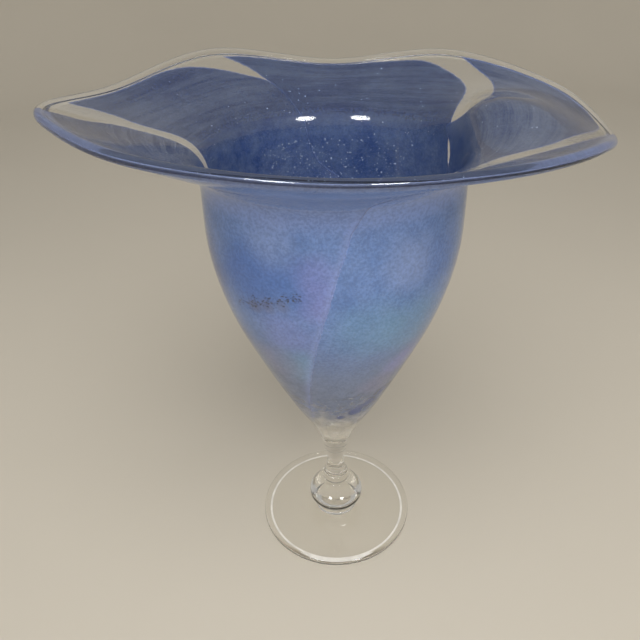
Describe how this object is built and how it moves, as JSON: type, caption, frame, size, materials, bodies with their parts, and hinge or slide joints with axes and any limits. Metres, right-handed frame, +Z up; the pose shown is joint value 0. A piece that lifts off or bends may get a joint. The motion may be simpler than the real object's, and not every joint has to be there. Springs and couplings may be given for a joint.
{
  "type": "footed vase",
  "caption": "Footed blown glass vase with a deep tapered bowl, a wide pinched brim with raised and drooping corners, and a clear stem, knop and round foot.",
  "frame": {"origin": "centre of the foot's flat underside", "axes": "+Z up along the vase's axis, +X towards the drooping corner of the brim, -Y towards the front"},
  "size_m": [0.2728, 0.203, 0.2866],
  "materials": {
    "clear_foot": "clear crystal, fire polished, with a bright rounded edge",
    "clear_ring": "clear crystal, fire polished",
    "clear_knop": "clear crystal, fire polished",
    "clear_collar": "clear crystal, fire polished",
    "clear_stem": "clear crystal, fire polished",
    "clear_bowl": "clear glass with fine seed bubbles, glossy",
    "blue_front": "mottled pale cobalt frit, soft feathered edges",
    "blue_right": "mottled pale cobalt frit, soft feathered edges",
    "blue_back": "mottled deep cobalt frit, soft feathered edges",
    "blue_left": "mottled cobalt frit, soft feathered edges",
    "lustred_casing": "thin clear casing with a faint lavender and teal lustre"
  },
  "bodies": {
    "root": {"foot": "clear_foot", "lower_merese": "clear_ring", "knop": "clear_knop", "upper_merese": "clear_collar", "stem": "clear_stem", "inner_casing": "clear_bowl", "colour_patch_front": "blue_front", "colour_patch_right": "blue_right", "colour_patch_back": "blue_back", "colour_patch_left": "blue_left", "outer_casing": "lustred_casing"}
  },
  "joints": []
}
